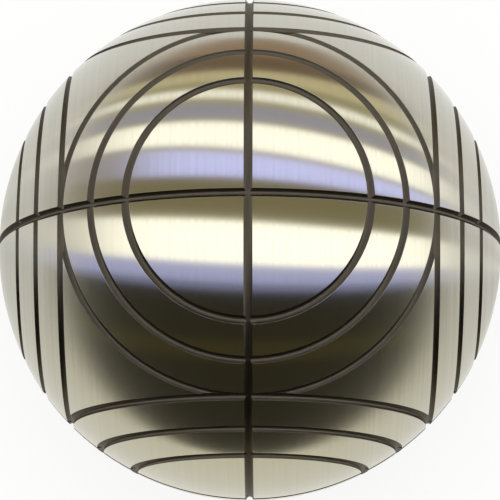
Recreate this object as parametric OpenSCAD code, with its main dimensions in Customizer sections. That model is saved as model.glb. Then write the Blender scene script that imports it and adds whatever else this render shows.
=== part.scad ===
// Leisure petanque boule: two steel half shells, welded together and filled with mortar.
// The origin is the ball's centre and +Z is up. X is the axis that the shells were turned on.

/* [Ball] */
// Outside diameter of the ball
ball_d = 73; // [70.5:0.5:80]
// Wall thickness of the steel half shells
wall = 3; // [2:0.25:5]

/* [Great circles] */
// Width of the three grooves that halve the ball
circle_w = 1.2; // [0.8:0.1:1.6]
// Depth of the three grooves that halve the ball
circle_depth = 0.6; // [0.5:0.05:0.8]

/* [Rings] */
// Width of the ring grooves at the surface
ring_w = 1.2; // [0.9:0.1:1.4]
// Depth of the ring grooves
ring_depth = 0.5; // [0.4:0.05:0.55]
// Angle from a pole to its inner ring, in degrees
inner_ring = 27; // [22:1:31]
// Angle from a pole to its middle ring, in degrees
middle_ring = 36; // [34:1:40]
// Angle from a pole to its outer ring, in degrees: just under 45, so neighbouring rings run together
outer_ring = 44.8; // [43.6:0.2:44.8]

/* [Weld] */
// Width of the weld bead at the ball's surface
weld_face_w = 4; // [3:0.5:6]
// Width of the weld bead on the inside of the wall
weld_root_w = 1; // [0.5:0.25:2]

/* [Filling] */
// Diameter of the filling hole
fill_hole_d = 8; // [5:0.5:9]
// Clearance all round the plug in the filling hole
plug_fit = 0.05; // [0.02:0.01:0.1]
// Gap that the set mortar leaves inside the wall
mortar_gap = 0.1; // [0.05:0.05:0.3]

/* [Hidden] */
ball_r = ball_d / 2;
bore_r = ball_r - wall;
ring_angles = [inner_ring, middle_ring, outer_ring];
// A round form tool turns the rings: this radius gives a ring its width and its depth
tool_r = (pow(ring_depth, 2) + pow(ring_w / 2, 2)) / (2 * ring_depth);
// Distance from the ball's centre to the form tool's centre
tool_reach = ball_r - ring_depth + tool_r;
// Turns that bring the top pole to the other poles
top = [0, 0, 0];
bottom = [180, 0, 0];
front = [90, 0, 0];
back = [-90, 0, 0];
right = [0, 90, 0];
// The filling hole is in the middle of the land between three outer rings, low at the back left
fill_hole_turn = [0, 180 - acos(1 / sqrt(3)), 135];
// How far a cutter runs past what it cuts
over = 1;
// Turn of each ring about its own pole, which keeps the seams of its surface off the great circles
seam_turn = 22.5;
round_faces = 180;
tool_faces = 24;
steel = "#B9B8B2";
mortar = "#8F8B82";

// A ball with its own poles on X, the turning axis
module ball(r) {
    rotate(right)
        sphere(r = r, $fn = round_faces);
}

// One turned ring about Z, at an angle from the top pole
module ring(angle) {
    rotate([0, 0, seam_turn])
        translate([0, 0, tool_reach * cos(angle)])
            rotate_extrude($fn = round_faces)
                translate([tool_reach * sin(angle), 0])
                    circle(r = tool_r, $fn = tool_faces);
}

// The rings round one pole
module pole_rings(turn) {
    rotate(turn)
        for (angle = ring_angles)
            ring(angle);
}

// The rings of the four poles that lie on the weld, which both shells and the weld share
module weld_pole_rings() {
    for (turn = [top, bottom, front, back])
        pole_rings(turn);
}

// The three square grooves that halve the ball, down to one common floor
module great_circles() {
    slab = ball_d + 2 * over;
    difference() {
        union() {
            cube([circle_w, slab, slab], center = true);
            cube([slab, circle_w, slab], center = true);
            cube([slab, slab, circle_w], center = true);
        }
        ball(ball_r - circle_depth);
    }
}

// The V between the prepared edges of the shells, turned about X and run past both faces of the wall
module weld_v() {
    flare = (weld_face_w - weld_root_w) / 2 / wall * over;
    root = weld_root_w / 2 - flare;
    face = weld_face_w / 2 + flare;
    rotate(right)
        rotate_extrude($fn = round_faces)
            polygon([[bore_r - over, -root], [ball_r + over, -face], [ball_r + over, face], [bore_r - over, root]]);
}

// The whole steel wall, before it is split
module wall_ball() {
    difference() {
        ball(ball_r);
        ball(bore_r);
    }
}

// The half shell on the +X side
module half_shell() {
    reach = ball_r + over;
    difference() {
        wall_ball();
        translate([-2 * reach, -reach, -reach])
            cube(2 * reach);
        weld_v();
        great_circles();
        weld_pole_rings();
        pole_rings(right);
    }
}

module right_half_shell() {
    color(steel)
        half_shell();
}

module left_half_shell() {
    color(steel)
        difference() {
            mirror([1, 0, 0])
                half_shell();
            rotate(fill_hole_turn)
                cylinder(d = fill_hole_d, h = ball_d, $fn = round_faces);
        }
}

module weld_bead() {
    color(steel)
        difference() {
            intersection() {
                wall_ball();
                weld_v();
            }
            great_circles();
            weld_pole_rings();
        }
}

module filling_plug() {
    color(steel)
        intersection() {
            wall_ball();
            rotate(fill_hole_turn)
                cylinder(d = fill_hole_d - 2 * plug_fit, h = ball_d, $fn = round_faces);
        }
}

module mortar_filling() {
    color(mortar)
        ball(bore_r - mortar_gap);
}

left_half_shell();
right_half_shell();
weld_bead();
filling_plug();
mortar_filling();
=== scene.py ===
# %% [markdown]
# # A filled leisure boule
# The real thing is a ball of steel, taken here as 73 mm across. The photograph shows only its outside. The
# inside follows how such balls are made: two pressed half shells are welded together, filled with mortar,
# turned on a lathe to the pattern of grooves and then plated. This lesson dresses the imported solids: it
# models the grooved steel again with a finer, softer surface, gives every piece its finish, and sets up a
# small photo studio round it. The first cell loads the solids, with a helper that reads a solid's box.

# %% Load the imported solids
import math
import bpy
import numpy as np
from mathutils import Matrix, Vector


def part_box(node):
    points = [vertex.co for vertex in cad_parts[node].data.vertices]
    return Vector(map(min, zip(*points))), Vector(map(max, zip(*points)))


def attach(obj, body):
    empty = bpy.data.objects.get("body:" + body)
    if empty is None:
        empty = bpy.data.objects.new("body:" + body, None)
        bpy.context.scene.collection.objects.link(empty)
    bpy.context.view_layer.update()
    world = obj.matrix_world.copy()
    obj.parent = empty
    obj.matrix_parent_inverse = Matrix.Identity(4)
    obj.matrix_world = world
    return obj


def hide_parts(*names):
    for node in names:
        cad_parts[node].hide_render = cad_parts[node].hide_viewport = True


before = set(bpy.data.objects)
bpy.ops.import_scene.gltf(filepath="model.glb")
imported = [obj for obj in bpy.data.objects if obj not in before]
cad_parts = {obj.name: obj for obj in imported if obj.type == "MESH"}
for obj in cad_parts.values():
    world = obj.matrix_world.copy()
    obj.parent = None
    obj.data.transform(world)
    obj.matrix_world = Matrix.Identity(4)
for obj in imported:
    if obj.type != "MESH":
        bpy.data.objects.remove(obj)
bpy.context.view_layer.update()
print("solids:", sorted(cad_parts))

# %% [markdown]
# ## Sizes
# Everything is worked out from a few sizes of the ball, written here in metres. The photograph gives the
# pattern, and the width of the grooves as a share of the ball. The diameter, the depths, the wall, the weld
# and the hole are typical values. All are the solids' own, but for the outer rings. In the photograph
# neighbouring ones touch, which puts their middle lines at about 45 degrees from each pole, and the solids
# keep theirs just short of that, at 44.8 degrees. The solids' reach is printed beside the radius, so a slip
# would show.

# %% The ball's sizes
MM = 0.001
BALL_R = 73 * MM / 2
WALL = 3 * MM
BORE_R = BALL_R - WALL
GROOVE_W = 1.2 * MM
RING_DEPTH = 0.5 * MM
CIRCLE_DEPTH = 0.6 * MM
RING_ANGLES = [math.radians(a) for a in (27, 36, 45)]
WELD_FACE = 4 * MM / 2
WELD_ROOT = 1 * MM / 2
PLUG_R = 8 * MM / 2
PLUG_FIT = 0.05 * MM
PLUG_AXIS = Vector((-1, 1, -1)).normalized()
solids_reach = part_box("right_half_shell")[1].x
print("ball radius in mm:", BALL_R / MM, "solids reach", round(solids_reach / MM, 3))

# %% [markdown]
# ## Camera
# The photograph looks down on the ball from about 78 degrees above the table, through a long lens, so the
# pole on top sits a little above the middle of the picture. The camera is placed by that angle and by its
# distance, which is about 11 times the ball's radius, and it looks at the ball's middle. Its angles, its
# distance and its lens come from fitting the grooves' circles to the photograph, and are rounded.

# %% Place the camera
CAMERA_RISE = math.radians(77.8)
CAMERA_SIDE = math.radians(0.45)
CAMERA_ROLL = math.radians(0.1)
CAMERA_DISTANCE = 10.9 * BALL_R
LENS = 196.0
SENSOR = 36

camera_data = bpy.data.cameras.new("camera")
camera_data.lens = LENS
camera_data.sensor_width = SENSOR
camera_data.clip_start = 0.01
camera = bpy.data.objects.new("camera", camera_data)
bpy.context.scene.collection.objects.link(camera)
camera_turn = (
    Matrix.Rotation(CAMERA_SIDE, 3, "Y")
    @ Matrix.Rotation(math.pi / 2 - CAMERA_RISE, 3, "X")
    @ Matrix.Rotation(CAMERA_ROLL, 3, "Z")
)
camera_way = camera_turn @ Vector((0, 0, 1))
camera_up = camera_turn @ Vector((0, 1, 0))
camera_right = camera_turn @ Vector((1, 0, 0))
camera.matrix_world = Matrix.LocRotScale(camera_way * CAMERA_DISTANCE, camera_turn, None)
bpy.context.scene.camera = camera
print("camera at", [round(v / MM) for v in camera.location], "mm")

# %% [markdown]
# ## One eighth of the ball
# The pattern is the same in all eight corners between the three great circles, so one corner is modelled
# and mirrored. It starts as a cube with a fine grid that is cast to a ball, which gives even faces with no
# poles. Each groove is turned about a pole, so its edges are circles in flat planes square to that pole's
# axis. That makes bisect the right tool: a few cuts on each side of a groove's middle give the lines its
# profile needs.

# %% Small helpers for modelling
def deselect_all():
    """Deselects every object, since an operator acts on all that is selected."""
    for thing in bpy.context.selected_objects:
        thing.select_set(False)


def start_edit(piece, kind="VERT"):
    """Edit mode on one piece, with everything in it deselected."""
    deselect_all()
    piece.select_set(True)
    bpy.context.view_layer.objects.active = piece
    bpy.ops.object.mode_set(mode="EDIT")
    bpy.ops.mesh.select_mode(type=kind)
    bpy.ops.mesh.select_all(action="DESELECT")


def end_edit():
    """Back to object mode."""
    bpy.ops.object.mode_set(mode="OBJECT")


def apply_modifier(piece, kind, **settings):
    """Adds one modifier with its settings and applies it."""
    deselect_all()
    piece.select_set(True)
    bpy.context.view_layer.objects.active = piece
    modifier = piece.modifiers.new(kind.title(), kind)
    for name, value in settings.items():
        setattr(modifier, name, value)
    bpy.ops.object.modifier_apply(modifier=modifier.name)


# %% Helpers for a mesh's points and faces
def points_of(piece):
    """The places of a piece's vertices, as one array."""
    places = np.zeros(len(piece.data.vertices) * 3)
    piece.data.vertices.foreach_get("co", places)
    return places.reshape(-1, 3)


def put_points(piece, places):
    """Moves a piece's vertices to the places in an array."""
    piece.data.vertices.foreach_set("co", places.ravel())
    piece.data.update()


def drop_faces(piece, test):
    """Deletes every face whose middle passes a test."""
    start_edit(piece, "FACE")
    end_edit()
    for face in piece.data.polygons:
        face.select = bool(test(face.center))
    bpy.ops.object.mode_set(mode="EDIT")
    bpy.ops.mesh.delete(type="FACE")
    end_edit()


def report(piece):
    """Prints how large a piece's mesh is."""
    print(f"{piece.name}: {len(piece.data.vertices)} vertices, {len(piece.data.polygons)} faces")


# %% A ball of even faces, and its corner with x, y and z above 0
GRID_CUTS = 45
deselect_all()
bpy.ops.mesh.primitive_cube_add(size=2 * BALL_R)
corner = bpy.context.active_object
corner.name = "corner"
bpy.ops.object.mode_set(mode="EDIT")
bpy.ops.mesh.select_all(action="SELECT")
bpy.ops.mesh.subdivide(number_cuts=GRID_CUTS)
end_edit()
places = points_of(corner)
put_points(corner, np.tan(places / BALL_R * math.pi / 4) * BALL_R)
apply_modifier(corner, "CAST", cast_type="SPHERE", factor=1, size=BALL_R, use_radius_as_size=False)
drop_faces(corner, lambda middle: min(middle) < 0)
report(corner)

# %% Cut the lines of every groove
POLES = [Vector((1, 0, 0)), Vector((0, 1, 0)), Vector((0, 0, 1))]
# distances from a groove's middle line, closest together round the lip
CUT_OFFSETS = [v * MM for v in (0, 0.2, 0.36, 0.48, 0.55, 0.585, 0.61, 0.64)]
SLIVER = 0.012 * MM  # points nearer each other than this, where cuts cross, are merged


def cut(axis, angle):
    """One line round an axis, at an angle from it, cut into the whole piece that is being edited."""
    bpy.ops.mesh.select_all(action="SELECT")
    bpy.ops.mesh.bisect(
        plane_co=axis * BALL_R * math.cos(angle), plane_no=axis, threshold=1e-6)


def cut_circle(axis, angle, offsets):
    """The lines on both sides of a groove's middle line."""
    for offset in offsets:
        for side in sorted({-offset, offset}):
            cut(axis, angle + side / BALL_R)


start_edit(corner)
for pole in POLES:
    for angle in RING_ANGLES:
        cut_circle(pole, angle, CUT_OFFSETS)
    for offset in CUT_OFFSETS[1:]:
        cut(pole, math.pi / 2 - offset / BALL_R)
cut(POLES[0], math.acos(WELD_FACE / BALL_R))
bpy.ops.mesh.select_all(action="SELECT")
bpy.ops.mesh.remove_doubles(threshold=SLIVER)
end_edit()
report(corner)

# %% [markdown]
# ## The profile of a groove
# The photograph doesn't show a groove's section, so it is taken as the work of a round form tool, with lips
# that the polishing mop has softened. The depth of one groove is a round valley with straight sloping
# walls, made so that its lip falls just inside the groove's width. Where grooves cross or run together,
# their depths are blended with a logarithm of summed exponentials, which is a maximum with its corner
# rounded, as a polished corner is. The slope of the same formula gives the exact normals, so the
# reflections stay clean.

# %% Depth and slope of the whole pattern
LIP = 0.015 * MM  # how far the polish rounds a lip
STEEPEST = 2.2  # how much a groove's straight wall falls for each step across
EXP_LIMIT = 60  # keeps the exponentials inside what a float holds


def valley(offset, width, depth):
    """Depth of one groove at a distance from its middle line, and how that depth changes with it."""
    wall_length = math.sqrt(1 + STEEPEST**2)
    tool_r = (STEEPEST * (width / 2 - LIP) - depth) / (wall_length - 1)
    turn = tool_r * STEEPEST / wall_length
    away = np.abs(offset)
    inside = np.minimum(away, turn)
    round_part = np.sqrt(tool_r**2 - inside**2)
    deep = round_part - (tool_r - depth) - STEEPEST * (away - inside)
    fall = np.where(away < turn, inside / round_part, STEEPEST)
    return deep, -fall * np.sign(offset)


def pattern(directions, seams=()):
    """Depth below the ball's surface in each direction, and the way its slope leans the normal."""
    share_sum = np.ones(len(directions))
    lean = np.zeros_like(directions)
    grooves = [(pole, math.pi / 2, GROOVE_W, CIRCLE_DEPTH) for pole in POLES]
    for pole in POLES + [-pole for pole in POLES]:
        grooves += [(pole, angle, GROOVE_W, RING_DEPTH) for angle in RING_ANGLES]
    for pole, angle, width, depth in grooves + list(seams):
        along = directions @ np.array(pole)
        turned = np.arccos(np.clip(along, -1, 1))
        deep, fall = valley(BALL_R * (turned - angle), width, depth)
        share = np.exp(np.clip(deep / LIP, -EXP_LIMIT, EXP_LIMIT))
        outward = directions * along[:, None] - np.array(pole)
        outward /= np.maximum(np.sin(turned), 1e-6)[:, None]
        share_sum += share
        lean += outward * (share * fall)[:, None]
    return LIP * np.log(share_sum), lean / share_sum[:, None]


def sink(piece, seams=()):
    """Moves each vertex of the outer surface from the plain ball down to the pattern's depth."""
    places = points_of(piece)
    directions = places / np.linalg.norm(places, axis=1)[:, None]
    depth, lean = pattern(directions, seams)
    put_points(piece, directions * (BALL_R - depth)[:, None])
    print(f"{piece.name}: deepest groove {depth.max() / MM:.2f} mm")


# %% [markdown]
# ## The skins of the steel pieces
# The corner is parted at the edge of the weld. Mirrored across the ball's middle planes, the outer part
# becomes the skin of the right half shell and the inner part the skin of the weld bead. Both shells would
# come from one die, so the left skin is the right one mirrored once more.

# %% Part the corner and mirror it
MERGE = 0.001 * MM


def copy_piece(source, name):
    """A copy with a mesh of its own."""
    piece = source.copy()
    piece.data = source.data.copy()
    piece.name = name
    bpy.context.scene.collection.objects.link(piece)
    return piece


def mirror(piece, x=False, y=False, z=False):
    """Adds a piece's mirror image across the middle planes square to the given axes."""
    apply_modifier(piece, "MIRROR", use_axis=(x, y, z), use_clip=False, merge_threshold=MERGE)


right_shell = copy_piece(corner, "right_half_shell_steel")
drop_faces(right_shell, lambda middle: middle.x < WELD_FACE)
mirror(right_shell, y=True, z=True)
weld = copy_piece(corner, "weld_bead_steel")
drop_faces(weld, lambda middle: middle.x > WELD_FACE)
mirror(weld, x=True, y=True, z=True)
left_shell = copy_piece(right_shell, "left_half_shell_steel")
deselect_all()
left_shell.select_set(True)
bpy.context.view_layer.objects.active = left_shell
bpy.ops.transform.mirror(
    orient_type="GLOBAL", constraint_axis=(True, False, False), center_override=(0, 0, 0))
bpy.ops.object.transform_apply(location=True, rotation=True, scale=True)
bpy.data.objects.remove(corner)
for piece in (right_shell, weld, left_shell):
    report(piece)

# %% [markdown]
# ## The filling hole and its plug
# Such a ball is filled through a hole, which a turned plug then closes. The photograph doesn't show it, so
# it is placed low at the back left. Plug and hole are cut here out of the left shell's own skin with circles
# round the plug's axis, so the plug carries on the ball's curve exactly. The thin ring of skin between them
# is the plug's clearance, and is dropped.

# %% Cut the plug out of the left skin
SEAM_W = 0.3 * MM
SEAM_DEPTH = 0.1 * MM
SEAM_CUTS = [v * MM for v in (0.09, 0.17, 0.3)]
plug_angle = math.asin(PLUG_R / BALL_R)
plug_rim_angle = math.asin((PLUG_R - PLUG_FIT) / BALL_R)
plug_seam = (PLUG_AXIS, (plug_angle + plug_rim_angle) / 2, SEAM_W, SEAM_DEPTH)


def in_plug(middle, radius=PLUG_R):
    """Whether a point lies inside the plug's circle, seen along the plug's axis."""
    along = middle.dot(PLUG_AXIS)
    return along > 0 and (middle - PLUG_AXIS * along).length < radius


start_edit(left_shell)
for angle in [plug_angle, plug_rim_angle]:
    cut(PLUG_AXIS, angle)
for offset in SEAM_CUTS:
    cut(PLUG_AXIS, plug_angle + offset / BALL_R)
    cut(PLUG_AXIS, plug_rim_angle - offset / BALL_R)
end_edit()
plug = copy_piece(left_shell, "filling_plug_steel")
drop_faces(left_shell, in_plug)
drop_faces(plug, lambda middle: not in_plug(middle, PLUG_R - PLUG_FIT))
report(plug)

# %% Sink the grooves into every skin
SEAMS = {left_shell.name: [plug_seam], plug.name: [plug_seam]}
for piece in (right_shell, left_shell, weld, plug):
    sink(piece, SEAMS.get(piece.name, []))

# %% [markdown]
# ## Closed solids
# Each skin now gets its inner wall and its sloped weld edge, which makes it a solid like the sawn and
# bevelled steel on a bench. The inside of the wall is a ball too, with its poles on the turning axis. It is
# bisected where the weld's root is, joined to the skin, and the open rims are bridged. The plug gets its
# thickness by extrusion.

# %% Helpers that close a skin
BORE_SEGMENTS = 128
BORE_RINGS = 64
plug_in_bore = PLUG_AXIS * math.sqrt(BORE_R**2 - PLUG_R**2)


def bore_wall(low_x, high_x, with_hole=False):
    """The inside of the wall as an open ball skin about X, between two planes."""
    deselect_all()
    bpy.ops.mesh.primitive_uv_sphere_add(
        segments=BORE_SEGMENTS, ring_count=BORE_RINGS, radius=BORE_R, rotation=(0, math.pi / 2, 0))
    bpy.ops.object.transform_apply(location=True, rotation=True, scale=True)
    wall = bpy.context.active_object
    sides = [((low_x, 0, 0), (-1, 0, 0)), ((high_x, 0, 0), (1, 0, 0))]
    sides = [side for side in sides if abs(side[0][0]) < BORE_R]
    if with_hole:
        sides.append((plug_in_bore, PLUG_AXIS))
    start_edit(wall)
    for place, way in sides:
        bpy.ops.mesh.select_all(action="SELECT")
        bpy.ops.mesh.bisect(plane_co=place, plane_no=way, clear_outer=True, threshold=1e-7)
    end_edit()
    return wall


def join(piece, other):
    """Joins another piece's mesh into this one."""
    deselect_all()
    other.select_set(True)
    piece.select_set(True)
    bpy.context.view_layer.objects.active = piece
    bpy.ops.object.join()


def bridge_rims(piece, test):
    """Bridges the open rims whose edges pass a test of their middle."""
    start_edit(piece, "EDGE")
    bpy.ops.mesh.select_non_manifold(extend=False, use_wire=False, use_multi_face=False,
                                     use_non_contiguous=False, use_verts=False)
    end_edit()
    places = points_of(piece)
    for edge in piece.data.edges:
        if edge.select:
            edge.select = bool(test(Vector((places[edge.vertices[0]] + places[edge.vertices[1]]) / 2)))
    bpy.ops.object.mode_set(mode="EDIT")
    bpy.ops.mesh.bridge_edge_loops(type="SINGLE", use_merge=False)
    end_edit()


def close_solid(piece):
    """Merges doubles, cuts faces into triangles, turns them outwards and counts the open points."""
    start_edit(piece)
    bpy.ops.mesh.select_all(action="SELECT")
    bpy.ops.mesh.remove_doubles(threshold=MERGE)
    bpy.ops.mesh.quads_convert_to_tris(quad_method="SHORTEST_DIAGONAL", ngon_method="BEAUTY")
    bpy.ops.mesh.normals_make_consistent(inside=False)
    bpy.ops.mesh.select_all(action="DESELECT")
    bpy.ops.mesh.select_non_manifold(extend=False)
    end_edit()
    open_points = sum(vertex.select for vertex in piece.data.vertices)
    print(f"{piece.name}: {len(piece.data.polygons)} faces, {open_points} open points")


# %% Close the shells, the weld and the plug
near_weld = WELD_FACE + 0.5 * MM  # tells the rims at the weld from the others
join(right_shell, bore_wall(WELD_ROOT, BALL_R))
bridge_rims(right_shell, lambda middle: middle.x < near_weld)
join(left_shell, bore_wall(-BALL_R, -WELD_ROOT, with_hole=True))
bridge_rims(left_shell, lambda middle: middle.x > -near_weld)
bridge_rims(left_shell, lambda middle: middle.x < -near_weld)
join(weld, bore_wall(-WELD_ROOT, WELD_ROOT))
bridge_rims(weld, lambda middle: middle.x > 0)
bridge_rims(weld, lambda middle: middle.x < 0)
start_edit(plug, "FACE")
bpy.ops.mesh.select_all(action="SELECT")
bpy.ops.mesh.extrude_region_move(TRANSFORM_OT_translate={"value": -PLUG_AXIS * WALL})
end_edit()
for piece in (right_shell, left_shell, weld, plug):
    close_solid(piece)

# %% [markdown]
# ## Clean reflections
# Bright plated steel shows every flaw of a mesh, because a mirror doubles it. So the outside doesn't take
# its normals from its faces but from the pattern's own formula. Faces of the inner wall, the weld edges and
# the hole keep flat normals of their own, with sharp edges between.

# %% Set the normals from the formula
SHARP = math.radians(45)
DEPTH_NAME = "groove_depth"


def set_clean_normals(piece, seams=()):
    """Sets the outside's normals from the pattern and keeps the groove's depth as an attribute, in mm."""
    deselect_all()
    piece.select_set(True)
    bpy.context.view_layer.objects.active = piece
    bpy.ops.object.shade_smooth_by_angle(angle=SHARP)
    mesh = piece.data
    places = points_of(piece)
    reach = np.linalg.norm(places, axis=1)
    directions = places / reach[:, None]
    depth, lean = pattern(directions, seams)
    clean = directions + lean * (BALL_R / (BALL_R - depth))[:, None]
    clean /= np.linalg.norm(clean, axis=1)[:, None]
    outside = reach > BALL_R - CIRCLE_DEPTH - 2 * LIP
    corners = []
    for face in mesh.polygons:
        if all(outside[v] for v in face.vertices):
            corners += [clean[v] for v in face.vertices]
        else:
            corners += [np.array(face.normal)] * len(face.vertices)
    mesh.normals_split_custom_set(corners)
    mesh.attributes.new(DEPTH_NAME, "FLOAT", "POINT").data.foreach_set("value", depth / MM)
    print(f"{piece.name}: normals set at {len(corners)} corners")


for piece in (right_shell, left_shell, weld, plug):
    set_clean_normals(piece, SEAMS.get(piece.name, []))

# %% [markdown]
# ## Finishes
# The ball is taken as carbon steel, turned on a lathe about the X axis, polished along the turning and then
# plated bright. What the eye gets from that is a metal that mirrors its surroundings in soft bands, drawn
# out across the turning lines. So the steel is metallic with full anisotropy, and its tangent is the
# turning axis, leant a little to suit the bands in the photograph. The grooves are rougher, as where a mop
# doesn't reach, and their darker colour is painted shade. Their depth is an attribute of the mesh, so the
# material follows them exactly.
# Turning lines and cloudy plating come from noise on Object coordinates, with every scale worked out from
# millimetres.

# %% Colours and a helper that adds a node
def linear(hex_colour):
    """An sRGB hex colour as linear RGBA."""
    channels = [int(hex_colour[i:i + 2], 16) / 255 for i in (1, 3, 5)]
    return [c / 12.92 if c <= 0.04045 else ((c + 0.055) / 1.055) ** 2.4 for c in channels] + [1]


def times(hex_colour, share):
    """A colour made brighter or darker by a share of its light."""
    return [share * c for c in linear(hex_colour)[:3]] + [1]


def add(tree, kind, links=(), inputs=(), **settings):
    """Adds a node. links are (socket, output to read) and inputs are (socket, value)."""
    node = tree.nodes.new(kind)
    for name, value in settings.items():
        setattr(node, name, value)
    for socket, value in inputs:
        node.inputs[socket].default_value = value
    for socket, output in links:
        tree.links.new(output, node.inputs[socket])
    return node


def new_material(name):
    """A material with its Principled shader: returns the material, its tree and the shader."""
    material = bpy.data.materials.new(name)
    material.use_nodes = True
    tree = material.node_tree
    return material, tree, tree.nodes["Principled BSDF"]


# %% Turned and plated steel
POLISH_SLANT = math.radians(4.5)
POLISH_AXIS = (math.cos(POLISH_SLANT), -math.sin(POLISH_SLANT), 0)
LINE_SPACING = 0.6 * MM  # real turning lines are finer than the render can show, so these are coarser
CLOUD_SIZE = 9 * MM
LINE_LOW, LINE_HIGH = 0.3, 0.7  # the part of the noise's range that the lines use
LINE_SHARE = 0.6
CLOUD_SHARE = 0.4
BRIGHTEST, DULLEST = 1.03, 0.92
LINE_BUMP = 0.07
LINE_HEIGHT = 0.01 * MM
GLOSS_VARIES = 0.03
GROOVE_ROUGHNESS = 0.85
# the grooves' painted shade and their roughness begin at this depth, so the lips are shaded too
GROOVE_EDGE = 0.01  # mm of depth at which the dull groove begins


def turned_plated_steel(name, land, groove, roughness):
    """Bright plated steel, turned about X. land is its colour, and groove the painted shade in the grooves.
    """
    material, tree, shader = new_material(name)
    shader.inputs["Metallic"].default_value = 1
    shader.inputs["Anisotropic"].default_value = 1
    place = add(tree, "ShaderNodeTexCoord").outputs["Object"]
    axes = add(tree, "ShaderNodeSeparateXYZ", [(0, place)])
    across = add(tree, "ShaderNodeCombineXYZ", [(0, axes.outputs["X"])]).outputs[0]
    lines = add(tree, "ShaderNodeTexNoise", [("Vector", across)],
                [("Scale", 1 / LINE_SPACING), ("Detail", 4), ("Roughness", 0.7)]).outputs["Fac"]
    clouds = add(tree, "ShaderNodeTexNoise", [("Vector", place)],
                 [("Scale", 1 / CLOUD_SIZE), ("Detail", 2), ("Roughness", 0.5)]).outputs["Fac"]
    depth = add(tree, "ShaderNodeAttribute", attribute_name=DEPTH_NAME).outputs["Fac"]
    sunk = add(tree, "ShaderNodeMapRange", [("Value", depth)], [("From Max", GROOVE_EDGE)]).outputs["Result"]
    # colour: lines and clouds dull the land a little
    streak = add(tree, "ShaderNodeMapRange", [("Value", lines)],
                 [("From Min", LINE_LOW), ("From Max", LINE_HIGH), ("To Max", LINE_SHARE)]).outputs["Result"]
    dulled = add(tree, "ShaderNodeMath", [(0, clouds), (2, streak)], [(1, CLOUD_SHARE)],
                 operation="MULTIPLY_ADD").outputs[0]
    tone = add(tree, "ShaderNodeMix", [("Factor", dulled)],
               [(6, times(land, BRIGHTEST)), (7, times(land, DULLEST))], data_type="RGBA").outputs[2]
    # painted shade: the grooves and their lips take the darker groove colour
    colour = add(tree, "ShaderNodeMix", [("Factor", sunk), (6, tone)], [(7, linear(groove))],
                 data_type="RGBA").outputs[2]
    tree.links.new(colour, shader.inputs["Base Color"])
    # roughness: a little more and less along the lines, and a dull groove
    gloss = add(tree, "ShaderNodeMapRange", [("Value", lines)],
                [("From Min", LINE_LOW), ("From Max", LINE_HIGH), ("To Min", roughness - GLOSS_VARIES),
                 ("To Max", roughness + GLOSS_VARIES)]).outputs["Result"]
    gloss = add(tree, "ShaderNodeMix", [("Factor", sunk), (2, gloss)], [(3, GROOVE_ROUGHNESS)],
                data_type="FLOAT").outputs[0]
    tree.links.new(gloss, shader.inputs["Roughness"])
    # the lines' own relief, and the direction that the highlights are drawn out in
    bump = add(tree, "ShaderNodeBump", [("Height", lines)],
               [("Strength", LINE_BUMP), ("Distance", LINE_HEIGHT)]).outputs["Normal"]
    tree.links.new(bump, shader.inputs["Normal"])
    axis = add(tree, "ShaderNodeVectorTransform", [], [("Vector", POLISH_AXIS)],
               vector_type="VECTOR", convert_from="OBJECT", convert_to="WORLD").outputs[0]
    tree.links.new(axis, shader.inputs["Tangent"])
    print("material:", name)
    return material


# the colours and the polish were matched to the photograph with the studio's strips in place
LAND = "#C1BFB2"
# painted shade: the darker colour that stands in for the shade in the grooves
GROOVE_SHADE = "#746E60"
POLISH_ROUGHNESS = 0.22
# all three are plated together, so they share one look, and each stays a finish of its own
shell_steel = turned_plated_steel("turned_plated_steel", LAND, GROOVE_SHADE, POLISH_ROUGHNESS)
weld_steel = turned_plated_steel("plated_weld_metal", LAND, GROOVE_SHADE, POLISH_ROUGHNESS)
plug_steel = turned_plated_steel("plated_plug_steel", LAND, GROOVE_SHADE, POLISH_ROUGHNESS)

# %% Set mortar inside the ball
SAND_SIZE = 1.5 * MM
HOLE_SPACING = 4 * MM
GRAIN_BUMP = 0.5
GRAIN_HEIGHT = 0.3 * MM
PASTE = "#7C776D"
SAND = "#A6A196"
MORTAR_ROUGH = (0.8, 0.95)


def set_mortar():
    """Cement mortar: pale grey-brown, matt, with sand grains and small air holes."""
    material, tree, shader = new_material("set_cement_mortar")
    place = add(tree, "ShaderNodeTexCoord").outputs["Object"]
    sand = add(tree, "ShaderNodeTexNoise", [("Vector", place)],
               [("Scale", 1 / SAND_SIZE), ("Detail", 4)]).outputs["Fac"]
    holes = add(tree, "ShaderNodeTexVoronoi", [("Vector", place)],
                [("Scale", 1 / HOLE_SPACING)]).outputs["Distance"]
    colour = add(tree, "ShaderNodeMix", [("Factor", sand)],
                 [(6, linear(PASTE)), (7, linear(SAND))], data_type="RGBA").outputs[2]
    tree.links.new(colour, shader.inputs["Base Color"])
    rough = add(tree, "ShaderNodeMapRange", [("Value", sand)],
                [("To Min", MORTAR_ROUGH[0]), ("To Max", MORTAR_ROUGH[1])]).outputs["Result"]
    tree.links.new(rough, shader.inputs["Roughness"])
    height = add(tree, "ShaderNodeMath", [(0, sand), (1, holes)], operation="ADD").outputs[0]
    bump = add(tree, "ShaderNodeBump", [("Height", height)],
               [("Strength", GRAIN_BUMP), ("Distance", GRAIN_HEIGHT)]).outputs["Normal"]
    tree.links.new(bump, shader.inputs["Normal"])
    print("material:", material.name)
    return material


def finish_with(piece, material):
    """Gives a piece one material."""
    piece.data.materials.clear()
    piece.data.materials.append(material)


finish_with(right_shell, shell_steel)
finish_with(left_shell, shell_steel)
finish_with(weld, weld_steel)
finish_with(plug, plug_steel)
finish_with(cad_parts["mortar_filling"], set_mortar())

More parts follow.
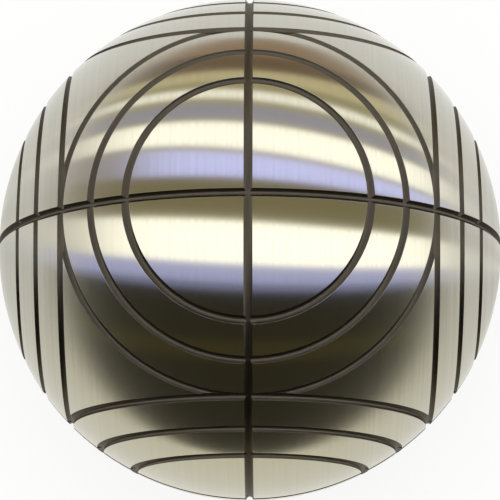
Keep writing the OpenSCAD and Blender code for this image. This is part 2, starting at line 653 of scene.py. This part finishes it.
# %% [markdown]
# ## The studio
# The floor is pale and the light is soft and white. Polished steel has no colour of its own to show: it
# shows what stands round it. The floor is what its rim shows. Its middle shows lit panels and dark cards,
# which are strips in the world that only reflections see. Each strip is an arc that crosses the ball's
# turning lines. It is placed by the angle at which the ball's surface has to lean, up or down the picture,
# to reflect it into the lens from where the camera of the photograph stands. The strips stay there when the
# camera moves.

# %% Show colours as they are written
bpy.context.scene.view_settings.view_transform = "Standard"
print("view transform:", bpy.context.scene.view_settings.view_transform)

# %% [markdown]
# The floor is a white sheet. To the camera most of its white is its own light, so it stays plain, and the
# rest is lit, so it keeps the ball's shadow. In reflections it is a sheet that ends before and behind the
# ball, and its near end is a little creamy. A Light Path node tells the kinds of ray apart.

# %% The floor
FLOOR_HALF = 6.0
FLOOR_COLOUR = "#F2F1EE"
FLOOR_ROUGHNESS = 0.9
SHEET_FRONT = -0.13
SHEET_BACK = 0.4
FLOOR_WHITE = 0.8
FLOOR_MIRRORED = 0.75
SHEET_CREAM = "#F0EAC8"
deselect_all()
bpy.ops.mesh.primitive_plane_add(size=2 * FLOOR_HALF, location=(0, 0, -BALL_R))
floor = bpy.context.active_object
floor.name = "floor"
floor_material, tree, shader = new_material("pale_floor")
shader.inputs["Base Color"].default_value = linear(FLOOR_COLOUR)
shader.inputs["Roughness"].default_value = FLOOR_ROUGHNESS
place = add(tree, "ShaderNodeTexCoord").outputs["Object"]
depthwise = add(tree, "ShaderNodeSeparateXYZ", [(0, place)]).outputs["Y"]
path = add(tree, "ShaderNodeLightPath").outputs
# beyond either end of the sheet, reflections see past the floor
before = add(tree, "ShaderNodeMath", [(0, depthwise)], [(1, SHEET_FRONT)], operation="LESS_THAN").outputs[0]
behind = add(tree, "ShaderNodeMath", [(0, depthwise)], [(1, SHEET_BACK)], operation="GREATER_THAN").outputs[0]
beyond = add(tree, "ShaderNodeMath", [(0, before), (1, behind)], operation="MAXIMUM").outputs[0]
unseen = add(tree, "ShaderNodeMath", [(0, beyond), (1, path["Is Glossy Ray"])],
             operation="MULTIPLY").outputs[0]
# how much of the floor is its own light, for the camera and for bounced rays
bounced = add(tree, "ShaderNodeMath", [(0, path["Is Glossy Ray"]), (1, path["Is Transmission Ray"])],
              operation="MAXIMUM").outputs[0]
straight = add(tree, "ShaderNodeMath", [(0, path["Is Camera Ray"])], [(1, FLOOR_WHITE)],
               operation="MULTIPLY").outputs[0]
own_light = add(tree, "ShaderNodeMath", [(0, bounced), (2, straight)], [(1, FLOOR_MIRRORED)],
                operation="MULTIPLY_ADD").outputs[0]
# the cream that reflections find towards the near end
nearer = add(tree, "ShaderNodeMapRange", [("Value", depthwise)],
             [("From Max", SHEET_FRONT)]).outputs["Result"]
creamy = add(tree, "ShaderNodeMath", [(0, nearer), (1, bounced)], operation="MULTIPLY").outputs[0]
tint = add(tree, "ShaderNodeMix", [("Factor", creamy)], [(6, (1, 1, 1, 1)), (7, linear(SHEET_CREAM))],
           data_type="RGBA").outputs[2]
white = add(tree, "ShaderNodeEmission", [("Color", tint)]).outputs[0]
clear = add(tree, "ShaderNodeBsdfTransparent").outputs[0]
shown = add(tree, "ShaderNodeMixShader", [(0, own_light), (1, shader.outputs[0]), (2, white)]).outputs[0]
either = add(tree, "ShaderNodeMixShader", [(0, unseen), (1, shown), (2, clear)]).outputs[0]
tree.links.new(either, tree.nodes["Material Output"].inputs["Surface"])
finish_with(floor, floor_material)
print("floor at", round(floor.location.z / MM, 2), "mm")

# %% The soft lamp overhead
LAMP_SIZE = 0.9
LAMP_POWER = 4
LAMP_HEIGHT = 1.2
lamp_data = bpy.data.lights.new("soft_lamp", "AREA")
lamp_data.shape = "DISK"
lamp_data.size = LAMP_SIZE
lamp_data.energy = LAMP_POWER
lamp = bpy.data.objects.new("soft_lamp", lamp_data)
bpy.context.scene.collection.objects.link(lamp)
lamp.location = (0, 0, LAMP_HEIGHT)
lamp.visible_glossy = False
lamp.visible_camera = False
print("lamp of", LAMP_POWER, "W at", LAMP_HEIGHT, "m")

# %% [markdown]
# The strips are written from the front of the studio, over the top, to the back. Each starts at an angle of
# lean and runs to the next one's start. They all slant a little and fan out, as arcs do on a ball, and some
# slant more or less than that, in degrees for each degree to the side. The lit ones and the cards between
# them fade on the left into one plain stone card, and one lit panel is shorter than the rest and ends there
# sooner. Their first places and colours were read off the photograph's ball, degree by degree of lean, with
# the colours divided by the steel's own. From there the places, slants and strengths were adjusted
# until the bands matched, and the colours were merged into nine. So the strips copy what that one ball
# mirrored: they match the photograph from its own camera, and from elsewhere they are simply a studio.

# %% The strips
CARDS = {
    # the studio's few colours of card and light
    "black": "#3A372A",
    "brown": "#4A452C",
    "blue": "#C4C8FF",
    "white": "#FFFDF4",
    "khaki": "#B4A87C",
    "grey": "#BCBAD0",
    "stone": "#A2988A",
    "cream": "#F0E4B8",
    "clay": "#B09478",
}
STRIPS = [
    # name, where it starts in degrees of lean, how much more it slants, its colour and its strength
    ("front card", -90, 0, "black", 0.95),
    ("brown card", -25.5, 0, "brown", 1),
    ("dark card", -20.5, 0, "black", 1),
    ("dim blue edge", -9.2, 0, "blue", 0.48),
    ("blue edge", -7.4, 0, "blue", 1.15),
    ("low panel", -3.2, 0, "white", 2.3),
    ("khaki card", 6.3, 0, "khaki", 0.67),
    ("blue panel", 16, -0.012, "blue", 1.95),
    ("stone bar", 21.5, 0.03, "stone", 1.05),
    ("tall panel", 22.6, 0.03, "white", 2.15),
    ("dark bar", 29.2, 0, "khaki", 0.6),
    ("grey panel", 30.1, 0, "grey", 1),
    ("khaki bar", 33.8, 0, "khaki", 1.1),
    ("high panel", 35.4, 0, "white", 1.75),
    ("high bar", 37.9, -0.01, "khaki", 1),
    ("cream card", 40.4, -0.04, "cream", 1),
    ("dim clay card", 44, -0.08, "clay", 0.52),
    ("clay card", 49, -0.04, "clay", 1),
]
SHORT_STRIP = "blue panel"
SHORT_END = -24
SHORT_FADE = 2
LIT_FROM = -5
FADE_START = -28
FADE_STOP = -42
FADE_SHARE = 0.8
REST = ("stone", 1.2)
EDGE_SOFT = 0.35
TILT = 0.052
FAN = 0.1
print(len(STRIPS), "strips")


# %% The world that reflections see
def build_world():
    """Plain white for the camera and for soft light, and the strips for glossy rays."""
    world = bpy.data.worlds.new("studio")
    bpy.context.scene.world = world
    world.use_nodes = True
    tree = world.node_tree
    tree.nodes.clear()
    ray = add(tree, "ShaderNodeTexCoord").outputs["Object"]
    ray = add(tree, "ShaderNodeVectorMath", [(0, ray)], operation="NORMALIZE").outputs[0]
    # the way the surface faces is halfway between the ray and the way to the lens
    facing = add(tree, "ShaderNodeVectorMath", [(0, ray)], [(1, camera_way)], operation="ADD").outputs[0]
    facing = add(tree, "ShaderNodeVectorMath", [(0, facing)], operation="NORMALIZE").outputs[0]

    def part_along(way):
        return add(tree, "ShaderNodeVectorMath", [(0, facing)], [(1, way)],
                   operation="DOT_PRODUCT").outputs["Value"]

    lean = add(tree, "ShaderNodeMath", [(0, part_along(camera_up)), (1, part_along(camera_way))],
               operation="ARCTAN2").outputs[0]
    side = add(tree, "ShaderNodeMath", [(0, part_along(camera_right))], operation="ARCSINE").outputs[0]
    fan = add(tree, "ShaderNodeMath", [(0, lean)], [(1, FAN), (2, TILT)], operation="MULTIPLY_ADD").outputs[0]
    lean = add(tree, "ShaderNodeMath", [(0, side), (1, fan), (2, lean)], operation="MULTIPLY_ADD").outputs[0]
    lean = add(tree, "ShaderNodeMath", [(0, lean)], operation="DEGREES").outputs[0]
    side = add(tree, "ShaderNodeMath", [(0, side)], operation="DEGREES").outputs[0]
    past_end = add(tree, "ShaderNodeMapRange", [("Value", side)],
                   [("From Min", SHORT_END), ("From Max", SHORT_END - SHORT_FADE)]).outputs["Result"]
    fade = add(tree, "ShaderNodeMapRange", [("Value", side)],
               [("From Min", FADE_START), ("From Max", FADE_STOP), ("To Max", FADE_SHARE)]).outputs["Result"]
    rest = times(CARDS[REST[0]], REST[1])
    seen = add(tree, "ShaderNodeRGB").outputs[0]
    seen.default_value = times(CARDS[STRIPS[0][3]], STRIPS[0][4])
    for name, start, slant, colour, strength in STRIPS[1:]:
        own_lean = add(tree, "ShaderNodeMath", [(0, side), (2, lean)], [(1, slant)],
                       operation="MULTIPLY_ADD").outputs[0]
        above = add(tree, "ShaderNodeMapRange", [("Value", own_lean)],
                    [("From Min", start - EDGE_SOFT), ("From Max", start + EDGE_SOFT)]).outputs["Result"]
        shade = times(CARDS[colour], strength)
        strip = add(tree, "ShaderNodeMix", [("Factor", above), (6, seen)], [(7, shade)], data_type="RGBA")
        if start > LIT_FROM:
            gone = fade
            if name == SHORT_STRIP:
                gone = add(tree, "ShaderNodeMath", [(0, fade), (1, past_end)], operation="MAXIMUM").outputs[0]
            faded = add(tree, "ShaderNodeMix", [("Factor", gone)], [(6, shade), (7, rest)], data_type="RGBA")
            tree.links.new(faded.outputs[2], strip.inputs[7])
        seen = strip.outputs[2]
    plain = add(tree, "ShaderNodeBackground", [], [("Color", (1, 1, 1, 1))]).outputs[0]
    strips = add(tree, "ShaderNodeBackground", [("Color", seen)]).outputs[0]
    path = add(tree, "ShaderNodeLightPath").outputs
    either = add(tree, "ShaderNodeMixShader",
                 [(0, path["Is Glossy Ray"]), (1, plain), (2, strips)]).outputs[0]
    add(tree, "ShaderNodeOutputWorld", [("Surface", either)])
    # light is found by the rays themselves, because only glossy rays see the strips
    world.cycles.sampling_method = "NONE"
    print("world:", world.name, "with", len(tree.nodes), "nodes")


build_world()

# %% [markdown]
# ## Riding on the body
# Every new piece rides on the body, and the solid that it dresses is hidden.

# %% Ride on the body and hide the solids
for piece, slot_name, node_name in (
    (right_shell, "shell_steel", "right_half_shell"),
    (left_shell, "shell_steel", "left_half_shell"),
    (weld, "weld_steel", "weld_bead"),
    (plug, "plug_steel", "filling_plug"),
):
    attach(piece, "root")
    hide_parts(node_name)
